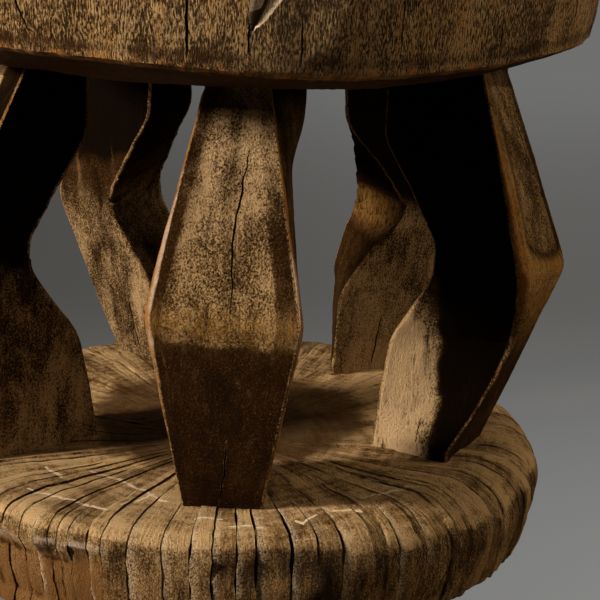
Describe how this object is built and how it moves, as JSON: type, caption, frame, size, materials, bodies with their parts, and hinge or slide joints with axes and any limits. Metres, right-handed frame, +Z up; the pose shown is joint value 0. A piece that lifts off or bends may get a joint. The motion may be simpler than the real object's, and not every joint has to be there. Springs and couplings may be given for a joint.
{
  "type": "carved wooden stool",
  "caption": "Heavy carved stool: a thick round seat on knee-bent legs that stand on a thick round base, in dark weathered hardwood with drying cracks.",
  "frame": {"origin": "on the floor, under the middle of the seat and base", "axes": "+Z up; the front of the stool, the side that the picture shows, faces -Y"},
  "size_m": [0.38, 0.38, 0.321],
  "materials": {
    "seat_wood": "hand-carved, dark worn patina with tan rubbed edges",
    "leg_wood": "hand-carved facets, speckled dark patina with orange worn arrises",
    "base_wood": "weathered end grain with radial drying cracks"
  },
  "bodies": {
    "root": {"seat": "seat_wood", "base": "base_wood", "leg_front": "leg_wood", "leg_right": "leg_wood", "leg_rear_right": "leg_wood", "leg_rear_left": "leg_wood", "leg_left": "leg_wood"}
  },
  "joints": []
}
